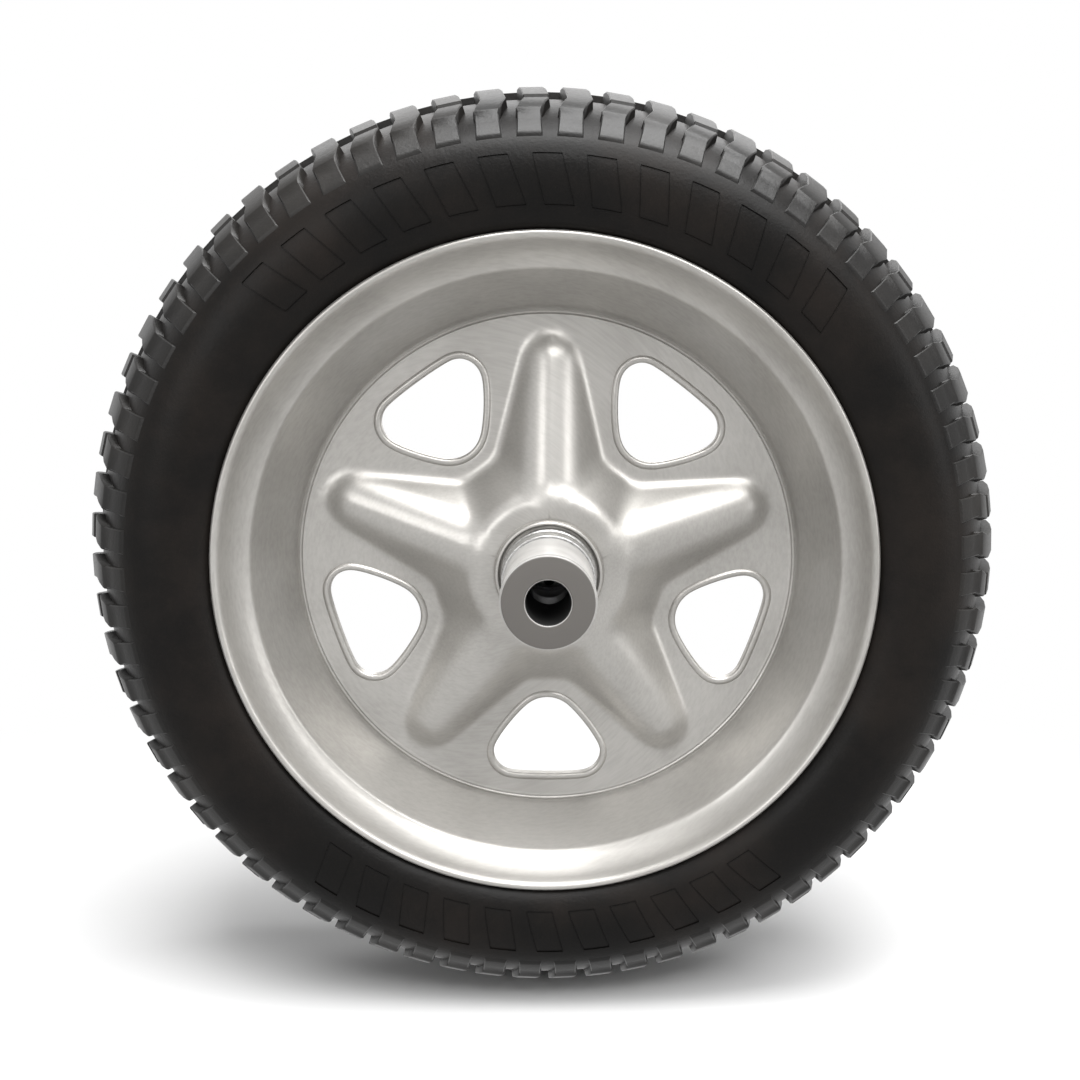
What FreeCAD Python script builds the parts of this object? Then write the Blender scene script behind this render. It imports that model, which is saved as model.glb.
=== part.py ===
import FreeCAD, Part
import math
import os
import re

import Sketcher
from FreeCAD import Placement, Rotation, Vector

# Flat-free wheelbarrow wheel for a fork 6 in wide on a 5/8 in axle.
#
# Millimetres. The axle lies along Y, the wheel stands upright in the XZ plane, and the front faces -Y.
# The origin is the wheel's centre. Every piece beside the middle is modelled at the rear (+Y), and its twin
# at the front is the same piece turned half a turn about Z.

# The driving sizes: word, value, what it is
SIZES = [
    ("tyre_od", 360.0, "over the crown of the tread"),
    ("tyre_width", 82.0, "over the bulge of the side walls"),
    ("bulge_outer", 149.0, "radius at which the side wall is first at its widest"),
    ("bulge_inner", 140.0, "radius at which it starts to curve back to the rim"),
    ("crown_drop", 7.0, "fall of the crown from its middle to the bend of the blocks"),
    ("shoulder_drop", 12.0, "fall of the crown from its middle to the shoulder"),
    ("lug_drop", 20.8, "fall of the crown from its middle to the foot of the side lugs"),
    ("bend_half", 23.0, "distance of the blocks' bends from the middle"),
    ("shoulder_half", 31.0, "distance of the shoulder from the middle"),
    ("lug_half", 37.0, "distance of the foot of the side lugs from the middle"),
    ("rib_groove", 5.0, "width of the groove round the middle of the tread"),
    ("rib_depth", 4.0, "depth of that groove"),
    ("tread_depth", 3.3, "depth of the gaps between the blocks"),
    ("ledge", 0.4, "step from the foot of the side lugs down to the side wall"),
    ("pitches", 70, "blocks in one row of the tread"),
    ("block_width", 9.2, "length of a block round the tread"),
    ("lug_width", 8.0, "length of a lug's foot round the side wall"),
    ("bend_lead", 2.7, "how far the bend of a block runs ahead of its ends"),
    ("seat_half", 8.0, "half width of the tyre's flat inner face"),
    ("bead_gap", 0.5, "clearance between the tyre and the rim"),
    ("rim_od", 254.0, "over the edges of the rim"),
    ("rim_width", 73.0, "over the lips of the rim"),
    ("gauge", 1.8, "thickness of the pressed sheet"),
    ("lip", 2.8, "width of the lip rolled round the rim"),
    ("flange_foot", 115.0, "radius of the foot of the rim's flange"),
    ("flange_rise", 24.6, "distance of that foot from the joint of the halves"),
    ("foot_shift", 1.1, "how much nearer the joint that foot lies on the back of the sheet"),
    ("foot_growth", 1.4, "how much further out it lies there"),
    ("well", 101.6, "radius at the foot of the sloping wall"),
    ("well_growth", 0.9, "how much further out that foot lies on the back of the sheet"),
    ("ring_width", 3.2, "width of the groove pressed round the disc, at the foot of the wall"),
    ("ring_depth", 0.9, "depth of that groove"),
    ("star_height", 20.0, "height of the pressed star over the joint of the halves"),
    ("star_foot", 47.6, "radius of the foot of the star's middle"),
    ("star_top", 28.0, "radius of the star's flat top"),
    ("arms", 5, "arms of the star, with a window between each two"),
    ("arm_reach", 93.0, "radius at which an arm starts to round off"),
    ("arm_nose", 3.0, "length of the arm's rounded end"),
    ("arm_tip_height", 4.8, "height of the arm's end over the joint of the halves"),
    ("nose_share", 0.5, "height and ridge of that end against the arm's before it"),
    ("arm_ridge", 14.0, "width of the arm's flat ridge at the bead"),
    ("arm_tip_ridge", 12.0, "width of the flat ridge at the arm's end"),
    ("arm_slope", 1.05, "how far the arm's sides run out for each unit down"),
    ("window_outer", 80.0, "radius at which the outer corners of a window are centred"),
    ("window_inner", 68.4, "radius at which its inner corner is centred"),
    ("window_spread", 27.6, "distance between the centres of the outer corners"),
    ("window_round", 9.0, "radius of the outer corners"),
    ("window_nose", 13.0, "radius of the inner corner"),
    ("hub_tube_od", 36.0, "over the tube that is welded into the rim"),
    ("bearing_od", 32.0, "over the outer race, and the bore of the hub tube"),
    ("hub_tube_length", 76.2, "3 in"),
    ("bead_ring", 43.2, "over the foot of the bead pressed round the hub tube"),
    ("bead_rise", 3.4, "height of the bead over the star's flat top"),
    ("bead_crest", 41.4, "over the flat crest of the bead"),
    ("crest_width", 0.8, "width of that crest"),
    ("bead_mouth", 38.2, "inside the bead, at the floor of the groove round the tube"),
    ("mouth_height", 0.9, "height of that floor over the star's flat top"),
    ("axle_bore", 16.0, "for a 5/8 in axle"),
    ("bearing_width", 10.0, "of the outer race"),
    ("bearing_inset", 1.0, "from the end of the hub tube to the bearing"),
    ("ball_od", 5.0, "of one ball"),
    ("ball_count", 14, "balls in one bearing, which has no cage"),
    ("ball_gap", 0.08, "running clearance of a ball"),
    ("end_gap", 0.8, "running gap between the hub tube and a spacer"),
    ("spacer_od", 34.2, "over a spacer"),
    ("spacer_chamfer", 0.7, "broken edge at the mouth of the bore"),
    ("hub_length", 152.4, "6 in, over both spacers"),
]
WORDS = re.compile(r"\b(" + "|".join(word for word, _, _ in SIZES) + r")\b")

doc = FreeCAD.newDocument("wheelbarrow_wheel")
sheet = doc.addObject("Spreadsheet::Sheet", "Sizes")
for row, (word, value, meaning) in enumerate(SIZES, start=1):
    sheet.set(f"A{row}", word)
    sheet.set(f"B{row}", str(value))
    sheet.set(f"C{row}", meaning)
    sheet.setAlias(f"B{row}", word)
doc.recompute()


def bound(text):
    """Return an expression in the words of the sheet as one that the document can follow."""
    return WORDS.sub(r"Sizes.\1", text)


def number(text):
    """Return the value of an expression in the words of the sheet."""
    value = sheet.evalExpression(bound(text))
    return float(getattr(value, "Value", value))


def origin_part(body, role):
    """Return the plane or axis of a body's own origin that has this role."""
    return next(feature for feature in body.Origin.OriginFeatures if feature.Role == role)


def new_body(label, front=False):
    """Add a body, turned half a turn about Z where it belongs at the front."""
    body = doc.addObject("PartDesign::Body", label)
    body.Label = label
    if front:
        body.Placement = Placement(Vector(), Rotation(Vector(0, 0, 1), 180))
    return body


def new_sketch(body, name, role, offset=""):
    """Add a sketch on an origin plane of its body, or at an offset from it."""
    sketch = body.newObject("Sketcher::SketchObject", name)
    sketch.AttachmentSupport = [(origin_part(body, role), "")]
    sketch.MapMode = "FlatFace"
    if offset:
        sketch.setExpression("AttachmentOffset.Base.z", bound(offset))
    return sketch


def hold(sketch, edge, point, across, up):
    """Hold one point of an edge at a place given by two expressions."""
    for kind, text in (("DistanceX", across), ("DistanceY", up)):
        index = sketch.addConstraint(Sketcher.Constraint(kind, -1, 1, edge, point, number(text)))
        sketch.setExpression(f"Constraints[{index}]", bound(text))


def draw_outline(sketch, corners):
    """Draw a closed outline of straight lines, each corner given by two expressions."""
    places = [Vector(number(across), number(up), 0) for across, up in corners]
    for here, there in zip(places, places[1:] + places[:1]):
        sketch.addGeometry(Part.LineSegment(here, there), False)
    for edge, (across, up) in enumerate(corners):
        before = (edge - 1) % len(corners)
        sketch.addConstraint(Sketcher.Constraint("Coincident", before, 2, edge, 1))
        hold(sketch, edge, 1, across, up)


def revolve(body, name, corners, kind="PartDesign::Revolution"):
    """Turn an outline about the axle. A corner is its distance along the axle, then its radius."""
    sketch = new_sketch(body, f"{name}_section", "YZ_Plane")
    draw_outline(sketch, corners)
    feature = body.newObject(kind, name)
    feature.Profile = sketch
    feature.ReferenceAxis = (sketch, ["H_Axis"])
    feature.Angle = 360
    return feature


def repeat(body, name, feature, count):
    """Repeat a feature evenly round the axle."""
    pattern = body.newObject("PartDesign::PolarPattern", name)
    pattern.Originals = [feature]
    pattern.Axis = (origin_part(body, "Y_Axis"), [""])
    pattern.Angle = 360
    pattern.setExpression("Occurrences", bound(count))
    body.Tip = pattern


def coded_piece(label, shape):
    """Add a piece whose shape comes from the functions below."""
    piece = doc.addObject("Part::Feature", label)
    piece.Label = label
    piece.Shape = shape
    return piece


def combine(body, name, shape, kind):
    """Fuse a coded shape with a body, or cut it away, by way of a body of its own."""
    tool = new_body(f"{name}_tool")
    tool.BaseFeature = coded_piece(f"{name}_shape", shape)
    feature = body.newObject("PartDesign::Boolean", name)
    feature.Type = kind
    feature.setObjects([tool])
    return feature


def flat_face(*corners):
    """Return the flat face inside these corners, where two neighbours may be the same point."""
    before = corners[-1:] + corners[:-1]
    apart = [corner for corner, last in zip(corners, before) if not corner.isEqual(last, 1e-6)]
    return Part.Face(Part.makePolygon([*apart, apart[0]]))


def spoke(stations):
    """Return the straight-sided solid through outlines that stand across a radius, once for each arm.

    A station is its radius, then its corners, each given by its place across the arm and along the axle.
    """
    outlines = [
        [Vector(number(across), number(along), number(radius)) for across, along in corners]
        for radius, corners in stations
    ]
    faces = [flat_face(*outlines[0]), flat_face(*outlines[-1])]
    for near, far in zip(outlines, outlines[1:]):
        for side in range(len(near)):
            after = (side + 1) % len(near)
            faces.append(flat_face(near[side], near[after], far[after], far[side]))
    one = Part.makeSolid(Part.makeShell(faces))
    count = int(number("arms"))
    turned = [one.rotated(Vector(), Vector(0, 1, 0), 360 * order / count) for order in range(count)]
    return turned[0].fuse(turned[1:])


# The back of the rim, which the tyre sits on: distances from the joint of the halves, and radii
EDGE_BACK = "(rim_width / 2 - lip / 2)"
EDGE = "(rim_od / 2)"
FOOT_BACK = "(flange_rise - foot_shift)"
FOOT = "(flange_foot + foot_growth)"
WELL_BOTTOM = "(well + well_growth)"


def side_shift(slope):
    """Return how far a sheet's inside lies from its outside, measured level, on a side of this slope."""
    return f"(gauge * (sqrt(1 + {slope} ^ 2) - {slope}))"


def arm_outline(ridge, height):
    """Return the corners of an arm's section: a foot on the joint plane and a narrower flat ridge."""
    half_foot = f"({ridge} / 2 + arm_slope * {height})"
    half_ridge = f"({ridge} / 2)"
    return [(f"-{half_foot}", "0"), (half_foot, "0"), (half_ridge, height), (f"-{half_ridge}", height)]


def hollow_outline(ridge, height):
    """Return the corners of the hollow in an arm, which leaves the sheet's gauge all round."""
    shift = side_shift("arm_slope")
    half_foot = f"({ridge} / 2 + arm_slope * {height} - {shift})"
    half_ridge = f"({ridge} / 2 - {shift})"
    top = f"({height} - gauge)"
    return [(f"-{half_foot}", "-gauge"), (half_foot, "-gauge"), (half_ridge, top), (f"-{half_ridge}", top)]


def rim_half(label, front):
    """Model one pressed half: lip, flange, sloping wall, disc with windows, and the hollow star."""
    body = new_body(label, front)
    tube = "hub_tube_od / 2"
    top = "star_height"
    bead = "bead_ring / 2"
    crest = "bead_crest / 2"
    revolve(body, f"{label}_sheet", [
        (EDGE_BACK, EDGE),
        ("rim_width / 2", f"{EDGE} - lip"),
        ("flange_rise", "flange_foot"),
        ("gauge - ring_depth", "well"),
        ("gauge", "well - ring_width"),
        ("gauge", "star_foot"),
        (top, "star_top"),
        (top, bead),
        (f"{top} + bead_rise", crest),
        (f"{top} + bead_rise", f"{crest} - crest_width"),
        (f"{top} + mouth_height", "bead_mouth / 2"),
        (f"{top} + mouth_height", tube),
        ("0", tube),
        ("0", WELL_BOTTOM),
        (FOOT_BACK, FOOT),
    ])
    combine(body, f"{label}_arms", spoke([
        (bead, arm_outline("arm_ridge", top)),
        ("arm_reach", arm_outline("arm_tip_ridge", "arm_tip_height")),
        ("arm_reach + arm_nose", arm_outline("nose_share * arm_tip_ridge", "nose_share * arm_tip_height")),
    ]), "Fuse")
    star_slope = "((star_foot - star_top) / (star_height - gauge))"
    shift = side_shift(star_slope)
    revolve(body, f"{label}_hollow", [
        ("-gauge", f"star_foot + gauge * {star_slope} - {shift}"),
        (f"{top} - gauge", f"star_top - {shift}"),
        (f"{top} - gauge", f"{tube} - gauge"),
        ("-gauge", f"{tube} - gauge"),
    ], "PartDesign::Groove")
    combine(body, f"{label}_arm_hollows", spoke([
        (bead, hollow_outline("arm_ridge", top)),
        ("arm_reach - gauge", hollow_outline("arm_tip_ridge", "arm_tip_height")),
    ]), "Cut")
    window = body.newObject("PartDesign::Pocket", f"{label}_window")
    window.Profile = window_sketch(body, f"{label}_window_outline")
    window.Midplane = True
    window.setExpression("Length", bound("4 * star_height"))
    repeat(body, f"{label}_windows", window, "arms")
    return body


def window_sketch(body, name):
    """Draw the window below the axle: a triangle with three round corners, its nose towards the axle."""
    sketch = new_sketch(body, name, "XZ_Plane")
    corners = [
        ("-window_spread / 2", "-window_outer", "window_round"),
        ("window_spread / 2", "-window_outer", "window_round"),
        ("0", "-window_inner", "window_nose"),
    ]
    spots = [(Vector(number(x), number(y), 0), number(r)) for x, y, r in corners]
    sides = []
    for (here, near), (there, far) in zip(spots, spots[1:] + spots[:1]):
        along = there - here
        lean = math.asin((near - far) / along.Length)
        out = math.atan2(along.y, along.x) - math.pi / 2 + lean
        away = Vector(math.cos(out), math.sin(out), 0)
        sides.append((out, here + away * near, there + away * far))
    for order, (centre, radius) in enumerate(spots):
        start, stop = sides[order - 1][0], sides[order][0]
        circle = Part.Circle(centre, Vector(0, 0, 1), radius)
        sketch.addGeometry(Part.ArcOfCircle(circle, start, stop if stop > start else stop + 2 * math.pi), False)
        sketch.addGeometry(Part.LineSegment(sides[order][1], sides[order][2]), False)
    for order, (across, up, radius) in enumerate(corners):
        arc, line, following = 2 * order, 2 * order + 1, 2 * ((order + 1) % 3)
        sketch.addConstraint(Sketcher.Constraint("Tangent", arc, 2, line, 1))
        sketch.addConstraint(Sketcher.Constraint("Tangent", line, 2, following, 1))
        hold(sketch, arc, 3, across, up)
        index = sketch.addConstraint(Sketcher.Constraint("Radius", arc, number(radius)))
        sketch.setExpression(f"Constraints[{index}]", bound(radius))
    return sketch


def tread_stations():
    """Return where the tread's section changes: distance from the middle, top, floor, lead and width."""
    crown, depth, back = (number(text) for text in ("tyre_od / 2", "tread_depth", "-bend_lead / 2"))
    width = number("block_width")
    bend, shoulder, foot = (crown - number(word) for word in ("crown_drop", "shoulder_drop", "lug_drop"))
    return [
        (number("rib_groove / 2"), crown, crown - depth, back, width),
        (number("bend_half"), bend, bend - depth, -back, width),
        (number("shoulder_half"), shoulder, shoulder - depth, back, width),
        (number("lug_half"), foot, foot, back, number("lug_width")),
    ]


def around_axle(shape, turn):
    """Return a copy of a shape or point turned about the axle by this many pitches."""
    angle = 360 * turn / number("pitches")
    spin = Placement(Vector(), Rotation(Vector(0, 1, 0), angle))
    return spin.multVec(shape) if isinstance(shape, Vector) else shape.transformed(spin.Matrix)


def pitch_outline(station):
    """Return one pitch of the tread's outline at a station: over a block, then on to the next one's foot."""
    away, top, floor, lead, width = station
    left, right = lead - width / 2, lead + width / 2
    block = [(left, floor), (left, top), (right, top), (right, floor)]
    corners = [Vector(across, away, radius) for across, radius in block]
    return [*corners, around_axle(corners[0], 1)]


def ring_face(station, radius):
    """Return the flat face between the tread's outline at a station and a circle inside it."""
    pitches = range(int(number("pitches")))
    rim = [around_axle(corner, turn) for turn in pitches for corner in pitch_outline(station)[:-1]]
    before = rim[-1:] + rim[:-1]
    rim = [corner for corner, last in zip(rim, before) if not corner.isEqual(last, 1e-6)]
    outer = Part.makePolygon([*rim, rim[0]])
    inner = Part.Wire(Part.makeCircle(radius, Vector(0, station[0], 0), Vector(0, 1, 0)))
    return Part.Face([outer, inner], "Part::FaceMakerBullseye")


def tread_row():
    """Return the faces of the rear row of blocks and lugs, with the two rings that close it."""
    stations = tread_stations()
    faces = []
    for near, far in zip(stations, stations[1:]):
        inner, outer = pitch_outline(near), pitch_outline(far)
        faces += [
            flat_face(inner[side], inner[side + 1], outer[side + 1], outer[side])
            for side in range(len(inner) - 2)
        ]
        faces.append(flat_face(inner[-2], inner[-1], outer[-1]))
        faces.append(flat_face(inner[-2], outer[-1], outer[-2]))
    one_pitch = Part.makeCompound(faces)
    row = [around_axle(one_pitch, turn) for turn in range(int(number("pitches")))]
    row.append(ring_face(stations[0], number("tyre_od / 2 - rib_depth")))
    row.append(ring_face(stations[-1], stations[-1][2] - number("ledge")))
    return Part.makeCompound(row)


def tyre():
    """Return the foam tyre: two rows of blocks, the groove between them, the side walls and the seat."""
    rear_row = tread_row()
    front_row = around_axle(rear_row.mirror(Vector(), Vector(0, 1, 0)), 0.5)
    foot = number("tyre_od / 2 - lug_drop - ledge")
    seat = f"{WELL_BOTTOM} + ({FOOT} - {WELL_BOTTOM}) * seat_half / {FOOT_BACK} + bead_gap"
    half_wall = [
        Vector(0, number("lug_half"), foot),
        Vector(0, number("tyre_width / 2"), number("bulge_outer")),
        Vector(0, number("tyre_width / 2"), number("bulge_inner")),
        Vector(0, number(EDGE_BACK), number(f"{EDGE} + bead_gap")),
        Vector(0, number(FOOT_BACK), number(f"{FOOT} + bead_gap")),
        Vector(0, number("seat_half"), number(seat)),
    ]
    wall = half_wall + [Vector(0, -corner.y, corner.z) for corner in reversed(half_wall)]
    smooth = Part.makePolygon(wall).revolve(Vector(), Vector(0, 1, 0), 360)
    groove, floor = number("rib_groove / 2"), number("tyre_od / 2 - rib_depth")
    middle = Part.makePolygon([Vector(0, -groove, floor), Vector(0, groove, floor)])
    middle = middle.revolve(Vector(), Vector(0, 1, 0), 360)
    skin = Part.makeCompound(rear_row.Faces + front_row.Faces + smooth.Faces + middle.Faces)
    skin.sewShape()
    solid = Part.makeSolid(skin.Shells[0])
    if solid.Volume < 0:
        solid.reverse()
    return solid.removeSplitter()


def hub_tube():
    """Model the tube that is welded into both halves and holds the bearings."""
    body = new_body("hub_tube")
    end = "hub_tube_length / 2"
    revolve(body, "hub_tube_wall", [
        (f"-{end}", "bearing_od / 2"),
        (end, "bearing_od / 2"),
        (end, "hub_tube_od / 2"),
        (f"-{end}", "hub_tube_od / 2"),
    ])
    return body


# Where the bearings lie: an outer race's outer face, its middle, and the circle that the balls run on
RACE_END = "(hub_tube_length / 2 - bearing_inset)"
RACE_MIDDLE = f"({RACE_END} - bearing_width / 2)"
BALL_CIRCLE = "((bearing_od + axle_bore) / 4)"
BALL_ROOM = "(ball_od / 2 + ball_gap)"


def outer_race(label, front):
    """Model an outer race, pressed into the hub tube."""
    body = new_body(label, front)
    revolve(body, f"{label}_section", [
        (f"{RACE_END} - bearing_width", f"{BALL_CIRCLE} + {BALL_ROOM}"),
        (RACE_END, f"{BALL_CIRCLE} + {BALL_ROOM}"),
        (RACE_END, "bearing_od / 2"),
        (f"{RACE_END} - bearing_width", "bearing_od / 2"),
    ])
    return body


def inner_race(label, front):
    """Model an inner race, which runs out past the hub tube to meet the spacer."""
    body = new_body(label, front)
    revolve(body, f"{label}_section", [
        (f"{RACE_END} - bearing_width", "axle_bore / 2"),
        ("hub_tube_length / 2 + end_gap", "axle_bore / 2"),
        ("hub_tube_length / 2 + end_gap", f"{BALL_CIRCLE} - {BALL_ROOM}"),
        (f"{RACE_END} - bearing_width", f"{BALL_CIRCLE} - {BALL_ROOM}"),
    ])
    return body


def spacer(label, front):
    """Model a spacer: a long collar on the axle between the inner race and the fork."""
    body = new_body(label, front)
    revolve(body, f"{label}_section", [
        ("hub_tube_length / 2 + end_gap", "axle_bore / 2"),
        ("hub_length / 2 - spacer_chamfer", "axle_bore / 2"),
        ("hub_length / 2", "axle_bore / 2 + spacer_chamfer"),
        ("hub_length / 2", "spacer_od / 2"),
        ("hub_tube_length / 2 + end_gap", "spacer_od / 2"),
    ])
    return body


def ball(radius):
    """Return a ball with few flat faces, every corner on the true sphere."""
    bands, sides = 4, 6
    spots = [
        [
            Vector(radius * math.sin(tilt) * math.cos(turn), radius * math.sin(tilt) * math.sin(turn),
                   radius * math.cos(tilt))
            for turn in (2 * math.pi * side / sides for side in range(sides))
        ]
        for tilt in (math.pi * band / bands for band in range(1, bands))
    ]
    top, bottom = Vector(0, 0, radius), Vector(0, 0, -radius)
    faces = []
    for side in range(sides):
        following = (side + 1) % sides
        faces.append(flat_face(top, spots[0][side], spots[0][following]))
        faces.append(flat_face(bottom, spots[-1][following], spots[-1][side]))
        for upper, lower in zip(spots, spots[1:]):
            faces.append(flat_face(upper[side], lower[side], lower[following], upper[following]))
    return Part.makeSolid(Part.makeShell(faces))


def ball_row():
    """Return the balls of the rear bearing, spread evenly round the axle."""
    count = int(number("ball_count"))
    centre = Vector(0, number(RACE_MIDDLE), number(BALL_CIRCLE))
    balls = []
    for order in range(count):
        one = ball(number("ball_od / 2"))
        one.translate(centre)
        balls.append(one.rotate(Vector(), Vector(0, 1, 0), 360 * order / count) or one)
    return Part.makeCompound(balls)


coded_piece("tyre", tyre())
pieces = ["tyre", "hub_tube"]
hub_tube()
for end, front in (("front", True), ("rear", False)):
    rim_half(f"rim_half_{end}", front)
    outer_race(f"outer_race_{end}", front)
    inner_race(f"inner_race_{end}", front)
    spacer(f"spacer_{end}", front)
    row = coded_piece(f"ball_row_{end}", ball_row())
    row.Placement = Placement(Vector(), Rotation(Vector(0, 0, 1), 180 if front else 0))
    pieces += [f"{kind}_{end}" for kind in ("rim_half", "outer_race", "inner_race", "spacer", "ball_row")]
doc.recompute()

for obj in doc.Objects:
    if {"Invalid", "Error"} & set(obj.State):
        raise RuntimeError(f"{obj.Label} failed: {obj.State}")
os.makedirs("parts", exist_ok=True)
for label in pieces:
    shape = doc.getObjectsByLabel(label)[0].Shape
    if shape.isNull() or not shape.isValid() or not shape.Solids:
        raise RuntimeError(f"{label} has no sound shape")
    print(f"{label}: {len(shape.Solids)} solid(s), {len(shape.Faces)} faces, {shape.Volume:.0f} mm3")
    shape.exportStep(f"parts/{label}.step")
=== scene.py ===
"""Wheelbarrow wheel: a foam tyre on a rim of two silver pressings, with bearings and long spacers.

Shapes are made in millimetres, with the axle along Y. Finishes and the stage are in metres.
"""

import logging
import math
from dataclasses import dataclass, field
from enum import Enum
from typing import Callable, Optional, Sequence

import bmesh
import bpy
import numpy as np
from mathutils import Matrix, Vector


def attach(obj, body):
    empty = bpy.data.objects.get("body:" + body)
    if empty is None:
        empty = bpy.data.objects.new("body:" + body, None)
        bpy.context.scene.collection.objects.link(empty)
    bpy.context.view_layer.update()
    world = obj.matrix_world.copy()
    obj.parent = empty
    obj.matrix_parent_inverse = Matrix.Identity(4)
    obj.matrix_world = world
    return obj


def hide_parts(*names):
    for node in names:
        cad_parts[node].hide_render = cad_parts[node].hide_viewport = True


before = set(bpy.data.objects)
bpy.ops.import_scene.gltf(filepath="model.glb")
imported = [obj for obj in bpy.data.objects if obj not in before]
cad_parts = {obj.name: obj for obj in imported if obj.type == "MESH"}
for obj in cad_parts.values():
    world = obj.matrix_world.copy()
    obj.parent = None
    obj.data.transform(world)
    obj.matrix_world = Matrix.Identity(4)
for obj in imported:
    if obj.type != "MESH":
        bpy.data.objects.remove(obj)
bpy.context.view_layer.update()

log = logging.getLogger("wheel")

Colour = tuple[float, float, float]
Span = tuple[float, float]
Section = Sequence[tuple[float, ...]]

MM = 0.001
AXLE = Vector((0, 1, 0))
WHEEL_MIDDLE = Vector((0, 0, 0))
WHITE: Colour = (1.0, 1.0, 1.0)
TINY = 1e-6


class Body(Enum):
    """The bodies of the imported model."""

    FITTINGS = "axle_fittings"
    WHEEL = "wheel"
    BALLS = "ball_rows"


class Slot(Enum):
    """The material slots of the record."""

    TYRE = "tyre"
    PAINT = "silver_paint"
    BEARING = "bearing_steel"
    BALL = "ball_steel"
    SPACER = "spacer_plastic"


class End(Enum):
    """The two ends of the wheel. Pieces are made for the rear, and turned or mirrored for the front."""

    FRONT = "front"
    REAR = "rear"

    @property
    def turn(self) -> float:
        """The turn about Z that brings a rear piece to this end."""
        return math.pi if self is End.FRONT else 0.0


# Expressions that build shader nodes


class Wire:
    """One output socket of a node tree, which takes part in sums and products."""

    def __init__(self, book: "Book", socket: bpy.types.NodeSocket) -> None:
        """Wrap a socket of a book's tree."""
        self.book = book
        self.socket = socket

    def maths(self, operation: str, *others: "Wire | float") -> "Wire":
        """Return the result of a Math node with this wire first."""
        values = dict(enumerate((self, *others)))
        return self.book.wire("ShaderNodeMath", "Value", {"operation": operation}, values)

    def swapped(self, operation: str, first: "Wire | float") -> "Wire":
        """Return the result of a Math node with this wire second."""
        return self.book.wire("ShaderNodeMath", "Value", {"operation": operation}, {0: first, 1: self})

    def __add__(self, other: "Wire | float") -> "Wire":
        """Return the sum."""
        return self.maths("ADD", other)

    def __radd__(self, other: float) -> "Wire":
        """Return the sum with a number first."""
        return self.swapped("ADD", other)

    def __sub__(self, other: "Wire | float") -> "Wire":
        """Return the difference."""
        return self.maths("SUBTRACT", other)

    def __rsub__(self, other: float) -> "Wire":
        """Return the difference with a number first."""
        return self.swapped("SUBTRACT", other)

    def __mul__(self, other: "Wire | float") -> "Wire":
        """Return the product."""
        return self.maths("MULTIPLY", other)

    def __rmul__(self, other: float) -> "Wire":
        """Return the product with a number first."""
        return self.swapped("MULTIPLY", other)

    def __truediv__(self, other: "Wire | float") -> "Wire":
        """Return the quotient."""
        return self.maths("DIVIDE", other)

    def __pow__(self, other: "Wire | float") -> "Wire":
        """Return the power."""
        return self.maths("POWER", other)

    def ramp(self, low: float, high: float) -> "Wire":
        """Return 0 below the low value and 1 above the high one, with a smooth change between.

        Args:
            low: where the change starts.
            high: where it ends.

        Returns:
            The value from 0 to 1.
        """
        settings = {"interpolation_type": "SMOOTHSTEP"}
        return self.book.wire("ShaderNodeMapRange", "Result", settings, {0: self, 1: low, 2: high})

    def below(self, limit: float, fade: float) -> "Wire":
        """Return 1 below a limit and 0 from a little above it."""
        return 1.0 - self.ramp(limit, limit + fade)


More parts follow.
